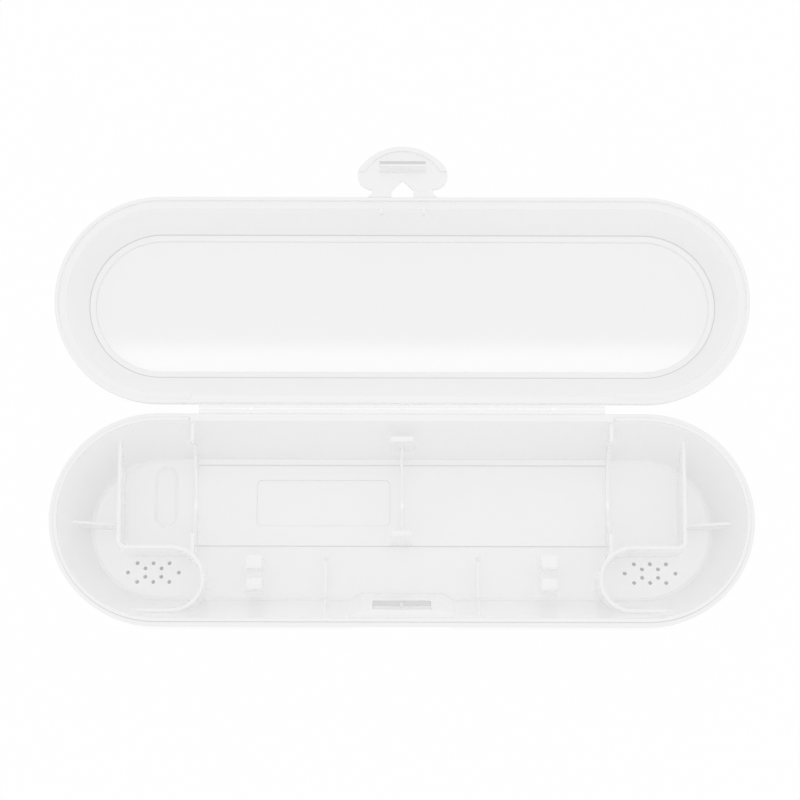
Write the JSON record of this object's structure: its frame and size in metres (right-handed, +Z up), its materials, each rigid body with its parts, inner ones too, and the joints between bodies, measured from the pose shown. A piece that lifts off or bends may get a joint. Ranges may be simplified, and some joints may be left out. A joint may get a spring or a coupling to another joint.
{
  "type": "electric toothbrush travel case",
  "caption": "Oblong hinged travel case for an electric toothbrush, with handle cradles, brush-head clips, drained end pockets and a snap latch flap.",
  "frame": {"origin": "middle of the flat underside of the base tray, which stands on the table", "axes": "+X to the right along the case, +Y back across the hinge towards the open lid, +Z up"},
  "size_m": [0.22, 0.1535, 0.0322],
  "materials": {
    "translucent_polypropylene": "frosted translucent moulding, unpigmented"
  },
  "bodies": {
    "base": {"base_shell": "translucent_polypropylene", "hinge_leaf_base": "translucent_polypropylene", "left_end_divider": "translucent_polypropylene", "right_end_divider": "translucent_polypropylene", "left_end_rib": "translucent_polypropylene", "right_end_rib": "translucent_polypropylene", "left_handle_cradle": "translucent_polypropylene", "centre_handle_cradle": "translucent_polypropylene", "right_handle_cradle": "translucent_polypropylene", "left_head_clip": "translucent_polypropylene", "right_head_clip": "translucent_polypropylene", "left_rest_rib": "translucent_polypropylene", "right_rest_rib": "translucent_polypropylene", "latch_catch_bar": "translucent_polypropylene"},
    "lid": {"lid_shell": "translucent_polypropylene", "hinge_leaf_lid": "translucent_polypropylene", "left_lid_gusset": "translucent_polypropylene", "right_lid_gusset": "translucent_polypropylene", "left_latch_strap": "translucent_polypropylene", "right_latch_strap": "translucent_polypropylene"},
    "latch": {"latch_flap": "translucent_polypropylene", "latch_hook": "translucent_polypropylene"}
  },
  "joints": [
    {"name": "lid_hinge", "type": "hinge", "parent": "base", "child": "lid", "pos_m": [0, 0.0351, 0.0247], "axis": [1, 0, 0], "range_deg": [0, 180]},
    {"name": "latch_hinge", "type": "hinge", "parent": "lid", "child": "latch", "pos_m": [0, 0.1057, 0.0246], "axis": [1, 0, 0], "range_deg": [0, 95]}
  ]
}
